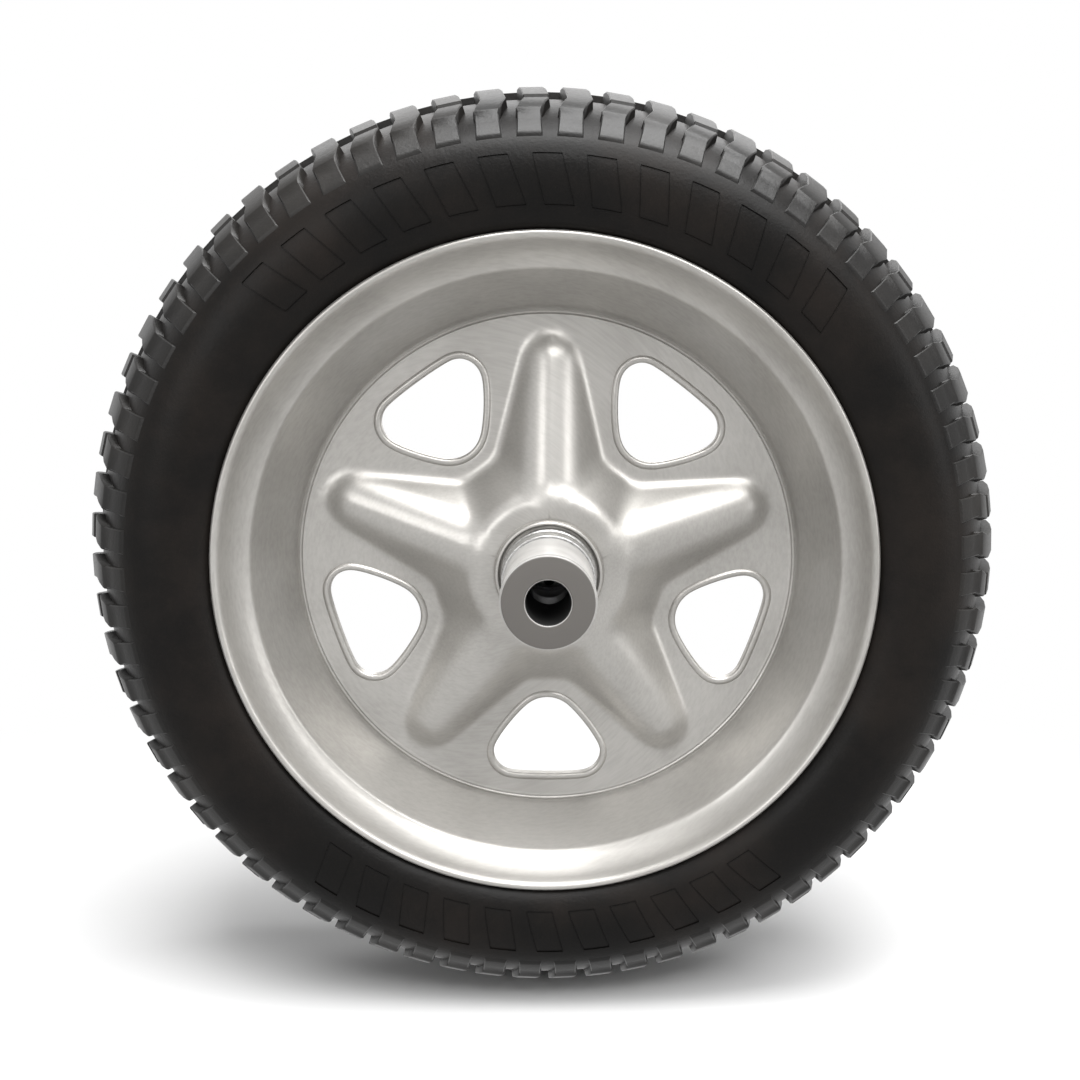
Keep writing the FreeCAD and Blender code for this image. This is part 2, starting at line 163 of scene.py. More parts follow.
class Book:
    """The node tree of one material, with one method that adds any node."""

    def __init__(self, tree: bpy.types.NodeTree) -> None:
        """Take over a tree and clear it."""
        self.tree = tree
        tree.nodes.clear()

    def node(self, kind: str, settings: Optional[dict] = None,
             values: Optional[dict] = None) -> bpy.types.Node:
        """Add a node.

        Args:
            kind: the node's type.
            settings: its properties, set first.
            values: numbers, colours or wires for its sockets, by name or number.

        Returns:
            The node.
        """
        made = self.tree.nodes.new(kind)
        for name, value in (settings or {}).items():
            setattr(made, name, value)
        for key, value in (values or {}).items():
            if isinstance(value, Wire):
                self.tree.links.new(value.socket, made.inputs[key])
            elif isinstance(value, tuple) and made.inputs[key].type == "RGBA":
                made.inputs[key].default_value = (*value, 1.0)
            else:
                made.inputs[key].default_value = value
        return made

    def wire(self, kind: str, output: str | int, settings: Optional[dict] = None,
             values: Optional[dict] = None) -> Wire:
        """Add a node and return one of its outputs."""
        return Wire(self, self.node(kind, settings, values).outputs[output])

    def place(self) -> Wire:
        """Return the place in the object's own frame, in metres."""
        return self.wire("ShaderNodeTexCoord", "Object")

    def noise(self, vector: Wire, scale: float, detail: float = 3.0, roughness: float = 0.5) -> Wire:
        """Return fractal noise over a vector."""
        values = {"Vector": vector, "Scale": scale, "Detail": detail, "Roughness": roughness}
        return self.wire("ShaderNodeTexNoise", "Fac", {}, values)

    def mix(self, share: "Wire | float", first: "Wire | Colour", second: "Wire | Colour") -> Wire:
        """Return one colour faded into another."""
        settings = {"data_type": "RGBA"}
        return self.wire("ShaderNodeMix", 2, settings, {0: share, 6: first, 7: second})

    def axle_frame(self) -> tuple[Wire, Wire, Wire]:
        """Return the radius, the distance along the axle, and the place itself."""
        place = self.place()
        parts = self.node("ShaderNodeSeparateXYZ", {}, {0: place})
        across, along, up = (Wire(self, parts.outputs[axis]) for axis in "XYZ")
        radius = (across * across + up * up) ** 0.5
        return radius, along, place

    def streaks(self, fine: float, stretch: float) -> Wire:
        """Return noise drawn out into lines round the axle.

        Args:
            fine: how fine the lines are across.
            stretch: how many times longer than wide they are.

        Returns:
            The noise.
        """
        radius, along, place = self.axle_frame()
        unit = self.wire("ShaderNodeVectorMath", "Vector", {"operation": "NORMALIZE"}, {0: place})
        turned = self.node("ShaderNodeSeparateXYZ", {}, {0: unit})
        cosine, sine = Wire(self, turned.outputs["X"]), Wire(self, turned.outputs["Z"])
        drawn = self.wire("ShaderNodeCombineXYZ", "Vector", {}, {
            "X": radius * fine + cosine * (fine / stretch),
            "Y": along * fine,
            "Z": sine * (fine / stretch),
        })
        return self.noise(drawn, scale=1.0, detail=4.0, roughness=0.6)

    def bump(self, height: Wire, distance: float, strength: float = 1.0) -> Wire:
        """Return a normal raised by a height between 0 and 1 times a distance in metres."""
        values = {"Height": height, "Distance": distance, "Strength": strength}
        return self.wire("ShaderNodeBump", "Normal", {}, values)

    def surface(self, **values: "Wire | float | Colour") -> None:
        """End the tree in a Principled shader.

        Args:
            values: its sockets, with underscores for the spaces in their names.
        """
        named = {name.replace("_", " "): value for name, value in values.items()}
        shader = self.wire("ShaderNodeBsdfPrincipled", "BSDF", {}, named)
        self.node("ShaderNodeOutputMaterial", {}, {"Surface": shader})


@dataclass(frozen=True)
class Finish:
    """A material of its own name, with one way to dress its nodes."""

    name: str

    def dress(self, book: Book) -> None:
        """Add the finish's nodes to an empty tree."""
        raise NotImplementedError

    def material(self) -> bpy.types.Material:
        """Return the Blender material, made once."""
        made = bpy.data.materials.get(self.name)
        if made is None:
            made = bpy.data.materials.new(self.name)
            made.use_nodes = True
            self.dress(Book(made.node_tree))
        return made


# The finishes


@dataclass(frozen=True)
class SilverPaint(Finish):
    """Silver paint on pressed sheet: faint waves, faint drag marks round the axle, and dull clouds."""

    colour: Colour = (0.44, 0.427, 0.405)
    shade: Colour = (0.30, 0.289, 0.271)
    cloud_scale: float = 22.0
    cloud_span: Span = (0.35, 0.7)
    cloud_shade: float = 0.45
    cloud_dulling: float = 0.08
    drag_fine: float = 900.0
    drag_stretch: float = 26.0
    drag_span: Span = (0.3, 0.75)
    drag_shade: float = 0.35
    drag_dulling: float = 0.1
    wave_scale: float = 42.0
    wave_height: float = 0.0002
    metallic: float = 0.7
    least_roughness: float = 0.235
    coat: float = 0.15
    coat_roughness: float = 0.25

    def dress(self, book: Book) -> None:
        """Add the finish's nodes to an empty tree."""
        place = book.place()
        cloud = book.noise(place, self.cloud_scale, detail=4.0)
        wave = book.noise(place, self.wave_scale, detail=1.0)
        drag = book.streaks(self.drag_fine, self.drag_stretch)
        tone = cloud.ramp(*self.cloud_span) * self.cloud_shade + drag.ramp(*self.drag_span) * self.drag_shade
        book.surface(
            Base_Color=book.mix(tone, self.colour, self.shade),
            Metallic=self.metallic,
            Roughness=cloud * self.cloud_dulling + drag * self.drag_dulling + self.least_roughness,
            Normal=book.bump(wave, self.wave_height),
            Coat_Weight=self.coat,
            Coat_Roughness=self.coat_roughness,
        )


@dataclass(frozen=True)
class TurnedTube(Finish):
    """The silver hub tube: lines left round it by the lathe, and painted shade in the bore, which is coloured
    near black.
    """

    light: Colour = (0.52, 0.515, 0.505)
    dark: Colour = (0.20, 0.195, 0.19)
    # Near black colour for the bore: painted shade inside the tube.
    bore_shade_colour: Colour = (0.012, 0.011, 0.010)
    bore: float = 0.0162
    bore_fade: float = 0.0002
    line_fine: float = 2600.0
    line_stretch: float = 90.0
    line_span: Span = (0.42, 0.66)
    line_shade: float = 0.8
    line_height: float = 0.00002
    cloud_scale: float = 60.0
    cloud_dulling: float = 0.2
    metallic: float = 0.85
    least_roughness: float = 0.24

    def dress(self, book: Book) -> None:
        """Add the finish's nodes to an empty tree."""
        lines = book.streaks(self.line_fine, self.line_stretch)
        radius, _, place = book.axle_frame()
        cloud = book.noise(place, self.cloud_scale)
        # Mask of the bore, where painted shade turns the inside of the tube near black.
        inside = radius.below(self.bore, self.bore_fade)
        turned = book.mix(lines.ramp(*self.line_span) * self.line_shade, self.light, self.dark)
        book.surface(
            Base_Color=book.mix(inside, turned, self.bore_shade_colour),
            Metallic=self.metallic,
            Roughness=cloud * self.cloud_dulling + self.least_roughness,
            Normal=book.bump(lines, self.line_height),
        )


@dataclass(frozen=True)
class Rubber(Finish):
    """Satin black foam rubber with a moulded grain, fine pores and brown dust."""

    colour: Colour = (0.0034, 0.0030, 0.0027)
    dust: Colour = (0.026, 0.019, 0.015)
    dust_share: float = 0.3
    sheen: float = 0.13
    cloud_scale: float = 18.0
    cloud_span: Span = (0.38, 0.72)
    cloud_dulling: float = 0.22
    grain_scale: float = 900.0
    grain_span: Span = (0.5, 0.8)
    grain_share: float = 0.08
    grain_dulling: float = 0.12
    pore_scale: float = 260.0
    relief: float = 0.00025
    relief_strength: float = 0.6
    least_roughness: float = 0.2

    def dress(self, book: Book) -> None:
        """Add the finish's nodes to an empty tree."""
        place = book.place()
        cloud = book.noise(place, self.cloud_scale, detail=5.0, roughness=0.6)
        grain = book.noise(place, self.grain_scale, detail=3.0, roughness=0.6)
        pores = book.noise(place, self.pore_scale, detail=2.0)
        share = cloud.ramp(*self.cloud_span) * self.dust_share + grain.ramp(*self.grain_span) * self.grain_share
        book.surface(
            Base_Color=book.mix(share, self.colour, self.dust),
            Roughness=cloud * self.cloud_dulling + grain * self.grain_dulling + self.least_roughness,
            Normal=book.bump(grain * 0.5 + pores * 0.5, self.relief, self.relief_strength),
            Specular_IOR_Level=self.sheen,
        )


@dataclass(frozen=True)
class SpacerPlastic(Finish):
    """Warm grey plastic, smooth on the side, darker at the sawn end, and with painted shade in the bore, which is
    coloured near black.
    """

    colour: Colour = (0.42, 0.41, 0.395)
    end_colour: Colour = (0.095, 0.088, 0.081)
    end_from: float = 0.0758
    end_fade: float = 0.0003
    end_dulling: float = 0.25
    # Near black colour for the bore: painted shade inside the spacer.
    bore_shade_colour: Colour = (0.003, 0.0028, 0.0026)
    bore: float = 0.00805
    bore_fade: float = 0.0001
    bore_dulling: float = 0.5
    cloud_scale: float = 70.0
    cloud_span: Span = (0.4, 0.75)
    cloud_shade: float = 0.3
    cloud_dulling: float = 0.1
    ring_fine: float = 1800.0
    ring_stretch: float = 30.0
    ring_height: float = 0.000012
    least_roughness: float = 0.3

    def dress(self, book: Book) -> None:
        """Add the finish's nodes to an empty tree."""
        radius, along, place = book.axle_frame()
        end = along.maths("ABSOLUTE").ramp(self.end_from, self.end_from + self.end_fade)
        # Mask of the bore, where painted shade turns the inside of the spacer near black.
        inside = radius.below(self.bore, self.bore_fade)
        cloud = book.noise(place, self.cloud_scale)
        rings = book.streaks(self.ring_fine, self.ring_stretch)
        outside = book.mix(end, self.colour, self.end_colour)
        dusty = book.mix(cloud.ramp(*self.cloud_span) * self.cloud_shade, outside, self.end_colour)
        dulling = end * self.end_dulling + inside * self.bore_dulling + cloud * self.cloud_dulling
        book.surface(
            Base_Color=book.mix(inside, dusty, self.bore_shade_colour),
            Roughness=dulling + self.least_roughness,
            Normal=book.bump(rings, self.ring_height),
        )


@dataclass(frozen=True)
class BearingSteel(Finish):
    """Ground bearing steel with a film of grease, and painted shade in the bore, which is coloured near black."""

    colour: Colour = (0.52, 0.52, 0.53)
    grease: Colour = (0.16, 0.13, 0.09)
    grease_scale: float = 140.0
    grease_span: Span = (0.5, 0.8)
    grease_share: float = 0.5
    # Near black colour for the bore: painted shade inside the races.
    bore_shade_colour: Colour = (0.008, 0.0075, 0.007)
    bore: float = 0.00805
    bore_fade: float = 0.0001
    line_fine: float = 3200.0
    line_stretch: float = 60.0
    line_dulling: float = 0.15
    line_height: float = 0.000008
    metallic: float = 0.95
    least_roughness: float = 0.22

    def dress(self, book: Book) -> None:
        """Add the finish's nodes to an empty tree."""
        lines = book.streaks(self.line_fine, self.line_stretch)
        radius, _, place = book.axle_frame()
        film = book.noise(place, self.grease_scale).ramp(*self.grease_span) * self.grease_share
        # Mask of the bore, where painted shade turns the inside of the races near black.
        inside = radius.below(self.bore, self.bore_fade)
        book.surface(
            Base_Color=book.mix(inside, book.mix(film, self.colour, self.grease), self.bore_shade_colour),
            Metallic=self.metallic,
            Roughness=lines * self.line_dulling + self.least_roughness,
            Normal=book.bump(lines, self.line_height),
        )


@dataclass(frozen=True)
class StudioFloor(Finish):
    """The pale floor, which fades to white away from the wheel for the camera and is white in reflections."""

    colour: Colour = (0.74, 0.74, 0.74)
    grain_colour: Colour = (0.70, 0.70, 0.70)
    grain_scale: float = 120.0
    grain_share: float = 0.1
    near: float = 0.16
    far: float = 0.5

    def dress(self, book: Book) -> None:
        """Add the finish's nodes to an empty tree."""
        place = book.place()
        tint = book.mix(book.noise(place, self.grain_scale) * self.grain_share, self.colour, self.grain_colour)
        floor = book.wire("ShaderNodeBsdfDiffuse", "BSDF", {}, {"Color": tint})
        white = book.wire("ShaderNodeEmission", "Emission", {}, {"Color": WHITE, "Strength": 1.0})
        parts = book.node("ShaderNodeSeparateXYZ", {}, {0: place})
        across, deep = Wire(book, parts.outputs["X"]), Wire(book, parts.outputs["Y"])
        distance = (across * across + deep * deep) ** 0.5
        path = book.node("ShaderNodeLightPath")
        seen = Wire(book, path.outputs["Is Camera Ray"]) * distance.ramp(self.near, self.far)
        share = seen.maths("MAXIMUM", Wire(book, path.outputs["Is Glossy Ray"]))
        mixed = book.wire("ShaderNodeMixShader", "Shader", {}, {0: share, 1: floor, 2: white})
        book.node("ShaderNodeOutputMaterial", {}, {"Surface": mixed})


# Tools that build meshes


class Shape:
    """A mesh under construction, in millimetres, with the axle along Y."""

    def __init__(self) -> None:
        """Start with an empty mesh."""
        self.bm = bmesh.new()

    def spin(self, section: Section, steps: int, arc: int = 3) -> "Shape":
        """Turn a closed section all round the axle.

        Args:
            section: corners as distance along the axle, radius and, where it is rounded, by how much.
            steps: how many sides the round has.
            arc: how many edges a rounded corner gets.

        Returns:
            The shape itself.
        """
        spots = [self.bm.verts.new((0, corner[0], corner[1])) for corner in section]
        for here, there in zip(spots, spots[1:] + spots[:1]):
            self.bm.edges.new((here, there))
        for spot, corner in zip(spots, section):
            if len(corner) > 2:
                bmesh.ops.bevel(self.bm, geom=[spot], offset=corner[2], affect="VERTICES", segments=arc,
                                profile=0.5, material=-1)
        outline = self.bm.verts[:] + self.bm.edges[:]
        bmesh.ops.spin(self.bm, geom=outline, cent=(0, 0, 0), axis=AXLE, angle=math.tau, steps=steps,
                       use_merge=True)
        return self

    def extrude_face(self, face: bmesh.types.BMFace, places: Sequence[Vector],
                     first: bool) -> bmesh.types.BMFace:
        """Extrude an end face to new places.

        Args:
            face: the face.
            places: where its corners go, in the face's own order.
            first: whether the face stays as the other end.

        Returns:
            The new end face.
        """
        before = [vert.co.copy() for vert in face.verts]
        made = bmesh.ops.extrude_face_region(self.bm, geom=[face])["geom"]
        if not first:
            bmesh.ops.delete(self.bm, geom=[face], context="FACES_ONLY")
        for vert in (item for item in made if isinstance(item, bmesh.types.BMVert)):
            vert.co = places[self.match(before, vert.co)]
        return next(item for item in made if isinstance(item, bmesh.types.BMFace))

    def loft(self, outlines: Sequence[Sequence[Vector]]) -> "Shape":
        """Extrude a face through a row of outlines with the same corners."""
        face = self.bm.faces.new([self.bm.verts.new(place) for place in outlines[0]])
        for order, places in enumerate(outlines[1:]):
            corners = [place.co.copy() for place in face.verts]
            wanted = [places[self.match(outlines[order], corner)] for corner in corners]
            face = self.extrude_face(face, wanted, order == 0)
        return self

    @staticmethod
    def match(outline: Sequence[Vector], corner: Vector) -> int:
        """Return which place of an outline a corner lies at."""
        return min(range(len(outline)), key=lambda order: (outline[order] - corner).length)

    def widen(self, edges: list[bmesh.types.BMEdge],
              move: Callable[[Vector], Vector]) -> list[bmesh.types.BMEdge]:
        """Extrude open edges and move the new ones.

        Args:
            edges: the edges.
            move: gives a new corner's place from its old one.

        Returns:
            The new edges.
        """
        made = bmesh.ops.extrude_edge_only(self.bm, edges=edges)["geom"]
        for vert in (item for item in made if isinstance(item, bmesh.types.BMVert)):
            vert.co = move(vert.co)
        return [item for item in made if isinstance(item, bmesh.types.BMEdge)]

    def open_ring(self, radius: float, slack: float = 0.02) -> list[bmesh.types.BMEdge]:
        """Return the open edges that lie on a circle round the axle."""
        return [
            edge for edge in self.bm.edges
            if len(edge.link_faces) == 1
            and all(abs(math.hypot(vert.co.x, vert.co.z) - radius) < slack for vert in edge.verts)
        ]

    def ring_out(self, radius: float, line: Section) -> None:
        """Carry the open edge at a radius on along a line round the axle."""
        edges = self.open_ring(radius)
        for along, reach in line:
            edges = self.widen(edges, lambda spot: self.moved(spot, along, reach))

    @staticmethod
    def moved(spot: Vector, along: float, reach: float) -> Vector:
        """Return a place at the same turn, at another distance along the axle and another radius."""
        scale = reach / math.hypot(spot.x, spot.z)
        return Vector((spot.x * scale, along, spot.z * scale))

    def copies_round(self, count: int) -> "Shape":
        """Repeat all that is there evenly round the axle."""
        geom = self.bm.verts[:] + self.bm.edges[:] + self.bm.faces[:]
        for order in range(1, count):
            made = bmesh.ops.duplicate(self.bm, geom=geom)["geom"]
            verts = [item for item in made if isinstance(item, bmesh.types.BMVert)]
            turn = Matrix.Rotation(math.tau * order / count, 3, "Y")
            bmesh.ops.rotate(self.bm, verts=verts, cent=(0, 0, 0), matrix=turn)
        return self

    def add(self, other: "Shape", turn: Matrix = Matrix.Identity(4)) -> "Shape":
        """Take in a copy of another shape, turned or mirrored."""
        part = bpy.data.meshes.new("part")
        other.bm.to_mesh(part)
        part.transform(turn)
        self.bm.from_mesh(part)
        bpy.data.meshes.remove(part)
        return self

    def merged(self, distance: float = 0.01) -> "Shape":
        """Join corners that lie together."""
        bmesh.ops.remove_doubles(self.bm, verts=self.bm.verts[:], dist=distance)
        return self

    def outwards(self) -> "Shape":
        """Turn all faces outwards."""
        bmesh.ops.recalc_face_normals(self.bm, faces=self.bm.faces[:])
        return self

    def bevelled(self, edges: list[bmesh.types.BMEdge], width: float) -> "Shape":
        """Break some edges with a narrow face."""
        bmesh.ops.bevel(self.bm, geom=edges, offset=width, affect="EDGES", segments=1, profile=0.5, material=-1)
        return self

    def piece(self, name: str, finish: Finish, crease: float = 32.0, turn: float = 0.0) -> bpy.types.Object:
        """Make the mesh an object at the origin, in metres.

        Args:
            name: the object's name.
            finish: its finish.
            crease: the angle in degrees past which an edge stays sharp.
            turn: a turn about Z.

        Returns:
            The object.
        """
        mesh = bpy.data.meshes.new(name)
        self.bm.to_mesh(mesh)
        self.bm.free()
        mesh.transform(Matrix.Rotation(turn, 4, "Z") @ Matrix.Scale(MM, 4))
        mesh.shade_smooth()
        mesh.set_sharp_from_angle(angle=math.radians(crease))
        mesh.materials.append(finish.material())
        made = bpy.data.objects.new(name, mesh)
        bpy.context.scene.collection.objects.link(made)
        return made


def fit(piece: bpy.types.Object, body: Body, slot: Slot, *nodes: str) -> None:
    """Put a piece on its body and let it stand for CAD nodes.

    Args:
        piece: the piece.
        body: the body that it rides on.
        slot: the record's slot for its finish; not used.
        nodes: the CAD nodes that it replaces.
    """
    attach(piece, body.value)
    if nodes:
        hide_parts(*nodes)
    triangles = sum(len(face.vertices) - 2 for face in piece.data.polygons)
    log.info("%s rides on %s, %d triangles", piece.name, body.value, triangles)


def soft_least(first: float, second: float, blend: float) -> float:
    """Return the lesser of two heights, with the corner between them rounded."""
    near = max(blend - abs(first - second), 0.0) / blend
    return min(first, second) - near * near * blend / 4


def soft_most(first: float, second: float, blend: float) -> float:
    """Return the greater of two heights, with the corner between them filled."""
    return -soft_least(-first, -second, blend)


def between(first: float, second: float, share: float) -> float:
    """Return a value part of the way from one to another."""
    return first + (second - first) * share


# The parts of the wheel


@dataclass
class StarDisc:
    """The pressed disc of one rim half: a hollow star with five arms, and a window between each two."""

    arms: int = 5
    level: float = 1.8
    top: float = 20.0
    top_radius: float = 30.0
    foot_radius: float = 47.6
    inner: float = 21.6
    outer: float = 98.4
    ridge: float = 6.3
    tip_ridge: float = 6.0
    tip_height: float = 4.8
    tip_from: float = 93.0
    ridge_from: float = 28.0
    slope: float = 1.05
    ridge_blend: float = 6.2
    plateau_blend: float = 3.6
    arm_blend: float = 4.5
    foot_blend: float = 2.4
    nose_from: float = 83.5
    window_middle: float = 74.0
    window_corners: Section = ((-13.8, -80.0, 9.0), (13.8, -80.0, 9.0), (0.0, -68.4, 13.0))
    lip: Section = ((0.0, -0.1), (0.25, 0.32), (0.7, 0.62), (1.35, 0.78), (2.0, 0.6), (2.5, 0.2), (2.8, -0.12),
                    (3.3, 0.0))
    bulge: float = 16.0
    bulge_back: float = 0.25
    rays: int = 140
    rows: int = 34
    directions: int = 1440
    least_facing: float = 0.05
    support: np.ndarray = field(init=False)
    normals: np.ndarray = field(init=False)

    def __post_init__(self) -> None:
        """Work out how far the window reaches in every direction."""
        angles = np.linspace(0, math.tau, self.directions, endpoint=False)
        self.normals = np.stack([np.cos(angles), np.sin(angles)], axis=1)
        spots = np.array([(x, z + self.window_middle) for x, z, _ in self.window_corners])
        radii = np.array([radius for _, _, radius in self.window_corners])
        reaches = np.maximum(self.normals @ spots.T + radii, 0.0)
        self.support = (reaches**self.bulge).sum(axis=1) ** (1 / self.bulge) - self.bulge_back

    def window_reach(self, angle: float, away: float) -> float:
        """Return how far the window's edge lies from its middle.

        Args:
            angle: the direction, from the level to the right.
            away: how far outside the true edge.

        Returns:
            The distance.
        """
        facing = self.normals @ np.array([math.cos(angle), math.sin(angle)])
        ahead = facing > self.least_facing
        return float(((self.support[ahead] + away) / facing[ahead]).min())

    def sector_reach(self, angle: float) -> float:
        """Return how far the sector's border lies from the window's middle in a direction."""
        across, up = math.cos(angle), math.sin(angle)
        start = -self.window_middle
        reaches = []
        half = start * up
        reaches.append(-half + math.sqrt(half * half - start * start + self.outer**2))
        inside = half * half - start * start + self.inner**2
        if inside > 0 and -half - math.sqrt(inside) > 0:
            reaches.append(-half - math.sqrt(inside))
        lean = math.pi / self.arms
        for side in (-1, 1):
            normal = (side * math.cos(lean), math.sin(lean))
            facing = normal[0] * across + normal[1] * up
            if facing > TINY:
                reaches.append(-normal[1] * start / facing)
        return min(reaches)

    def border_corners(self) -> list[float]:
        """Return the directions of the sector's own corners from the window's middle."""
        lean = math.pi / self.arms
        spots = [
            (side * radius * math.sin(lean), self.window_middle - radius * math.cos(lean))
            for side in (-1, 1) for radius in (self.inner, self.outer)
        ]
        return [math.atan2(up, across) % math.tau for across, up in spots]

    def arm_height(self, along: float, across: float) -> float:
        """Return the height of an arm.

        Args:
            along: distance from the axle along the arm.
            across: distance from the arm's middle.

        Returns:
            The height over the joint of the halves.
        """
        share = max(along - self.ridge_from, 0.0) / (self.tip_from - self.ridge_from)
        ridge = between(self.ridge, self.tip_ridge, share)
        height = between(self.top, self.tip_height, share)
        past = max(along - self.nose_from, 0.0)
        side = height - (math.hypot(across, past) - ridge) / self.slope
        return soft_least(height, side, self.ridge_blend)

    def height(self, across: float, up: float) -> float:
        """Return the height of the pressing at a place on the disc."""
        radius = math.hypot(across, up)
        steepness = (self.top - self.level) / (self.foot_radius - self.top_radius)
        star = soft_least(self.top, self.level + (self.foot_radius - radius) * steepness, self.plateau_blend)
        step = math.tau / self.arms
        turn = math.atan2(across, -up) - step / 2
        for neighbour in range(2):
            lean = turn + neighbour * step
            along = radius * math.cos(lean)
            if along > 0:
                arm = self.arm_height(along, abs(radius * math.sin(lean)))
                star = soft_most(star, arm, self.arm_blend)
        return soft_most(self.level, star, self.foot_blend)

    def sector(self) -> Shape:
        """Return the sheet's outside from the bottom window's edge out to the middles of the arms beside it."""
        shape = Shape()
        ring = bmesh.ops.create_circle(shape.bm, segments=self.rays, radius=1.0)["verts"]
        angles = [math.atan2(vert.co.y, vert.co.x) % math.tau for vert in ring]
        for corner in self.border_corners():
            gap = [abs((angle - corner + math.pi) % math.tau - math.pi) for angle in angles]
            angles[gap.index(min(gap))] = corner
        turns = {}
        for vert, angle in zip(ring, angles):
            vert.co = self.spot(angle, self.window_reach(angle, 0.0), self.lip[0][1])
            turns[self.key(vert.co)] = angle
        edges = shape.bm.edges[:]
        last = self.lip[-1][0]
        steps = [(away, lift, 0.0) for away, lift in self.lip[1:]]
        steps += [(last, 0.0, (row + 1) / self.rows) for row in range(self.rows)]
        for away, lift, share in steps:
            fresh = {}

            def move(place: Vector) -> Vector:
                """Return the next place outwards on the ray of an old one."""
                angle = turns[self.key(place)]
                reach = between(self.window_reach(angle, away), self.sector_reach(angle), share)
                made = self.spot(angle, reach, lift)
                fresh[self.key(made)] = angle
                return made

            edges = shape.widen(edges, move)
            turns = fresh
        return shape

    def spot(self, angle: float, reach: float, lift: float) -> Vector:
        """Return the place on the sheet at a direction and distance from the window's middle."""
        across, up = reach * math.cos(angle), reach * math.sin(angle) - self.window_middle
        return Vector((across, self.height(across, up) + lift, up))

    @staticmethod
    def key(place: Vector) -> tuple[float, float]:
        """Return a name for a place that survives rounding."""
        return round(place.x, 3), round(place.z, 3)


@dataclass
class RimHalf:
    """One half of the rim: the star disc, then the groove, the sloping wall, the flange and the rolled lip."""

    end: End
    finish: Finish
    disc: StarDisc = field(default_factory=StarDisc)
    gauge: float = 1.8
    wall: Section = (
        (2.0, 98.9), (1.95, 99.3), (1.3, 99.65), (0.55, 100.0), (0.3, 100.5), (0.5, 101.0), (1.3, 101.4),
        (2.6, 101.95), (4.2, 102.9),
        (8.0, 105.3), (12.5, 107.9), (17.0, 110.5), (21.0, 112.8), (23.3, 114.1), (24.3, 114.7), (24.75, 115.3),
        (25.2, 116.1), (26.7, 117.8), (28.6, 119.6), (30.8, 121.3), (32.9, 122.6), (34.5, 123.4), (35.7, 124.2),
        (36.35, 125.0), (36.5, 125.7), (36.2, 126.4), (35.4, 126.9), (34.4, 127.0),
    )
    throat: Section = ((20.0, 20.0), (20.0, 18.1))
    bead: Section = (
        (19.2, 21.7), (20.3, 21.6), (21.9, 21.4), (23.0, 21.0), (23.4, 20.4), (23.35, 19.9), (22.7, 19.5),
        (21.5, 19.25), (20.95, 19.0), (20.8, 18.1), (19.2, 18.1),
    )
    steps: int = 180

    def build(self) -> None:
        """Make the pressed half and the bead round the hub tube."""
        sheet = self.disc.sector().copies_round(self.disc.arms).merged()
        sheet.ring_out(self.disc.outer, self.wall)
        sheet.ring_out(self.disc.inner, self.throat)
        sheet.outwards()
        if self.faces_inwards(sheet):
            bmesh.ops.reverse_faces(sheet.bm, faces=sheet.bm.faces[:])
        bmesh.ops.solidify(sheet.bm, geom=sheet.bm.faces[:], thickness=self.gauge)
        half = sheet.piece(f"rim_pressing_{self.end.value}", self.finish, crease=40.0, turn=self.end.turn)
        fit(half, Body.WHEEL, Slot.PAINT, f"rim_half_{self.end.value}")
        bead = Shape().spin(self.bead, self.steps).merged().outwards()
        ring = bead.piece(f"hub_bead_{self.end.value}", self.finish, crease=50.0, turn=self.end.turn)
        fit(ring, Body.WHEEL, Slot.PAINT)

    @staticmethod
    def faces_inwards(sheet: Shape) -> bool:
        """Return whether the faces of the open sheet look at the joint of the halves."""
        return sum(face.normal.y * face.calc_area() for face in sheet.bm.faces) < 0


@dataclass
class Hub:
    """The hub tube with its two low rings, and a spacer at each end."""

    tube_finish: Finish
    spacer_finish: Finish
    tube_end: float = 38.1
    tube_radius: float = 18.0
    tube_bore: float = 16.0
    tube_round: float = 0.5
    bore_round: float = 0.4
    ring_start: float = 24.6
    ring_end: float = 27.0
    ring_slopes: Span = (0.4, 0.5)
    ring_rise: float = 0.55
    ring_round: float = 0.3
    spacer_start: float = 38.9
    spacer_end: float = 76.2
    spacer_radius: float = 17.1
    spacer_rounds: Span = (0.3, 0.4)
    spacer_rim: Section = (
        (0.0, -1.0, 0.15), (-0.5, -0.5, 0.15), (-1.1, -0.5), (-1.2, -0.85), (-1.6, -0.85), (-1.8, 0.0, 0.2),
    )
    bore: float = 8.0
    chamfer: float = 0.6
    steps: int = 144

    def tube_line(self) -> list[tuple[float, ...]]:
        """Return the tube's section: its bore, then its outside from the rear end to the front end."""
        end, outer, top = self.tube_end, self.tube_radius, self.tube_radius + self.ring_rise
        rear = [
            (end, outer, self.tube_round),
            (self.ring_end, outer),
            (self.ring_end - self.ring_slopes[1], top, self.ring_round),
            (self.ring_start + self.ring_slopes[0], top, self.ring_round),
            (self.ring_start, outer),
        ]
        front = [(-along, *rest) for along, *rest in reversed(rear)]
        bore = [(-end, self.tube_bore, self.bore_round), (end, self.tube_bore, self.bore_round)]
        return bore + rear + front

    def spacer_line(self) -> list[tuple[float, ...]]:
        """Return the rear spacer's section, with a lip and a groove round its end."""
        end, outer = self.spacer_end, self.spacer_radius
        return [
            (self.spacer_start, self.bore, self.spacer_rounds[0]),
            (end - self.chamfer, self.bore),
            (end, self.bore + self.chamfer),
            *[(end + along, outer + reach, *rest) for along, reach, *rest in self.spacer_rim],
            (self.spacer_start, outer, self.spacer_rounds[1]),
        ]

    def build(self) -> None:
        """Make the tube and both spacers."""
        tube = Shape().spin(self.tube_line(), self.steps).merged().outwards()
        fit(tube.piece("hub_tube_turned", self.tube_finish), Body.WHEEL, Slot.PAINT, "hub_tube")
        for side in End:
            spacer = Shape().spin(self.spacer_line(), self.steps).merged().outwards()
            made = spacer.piece(f"spacer_collar_{side.value}", self.spacer_finish, turn=side.turn)
            fit(made, Body.FITTINGS, Slot.SPACER, f"spacer_{side.value}")


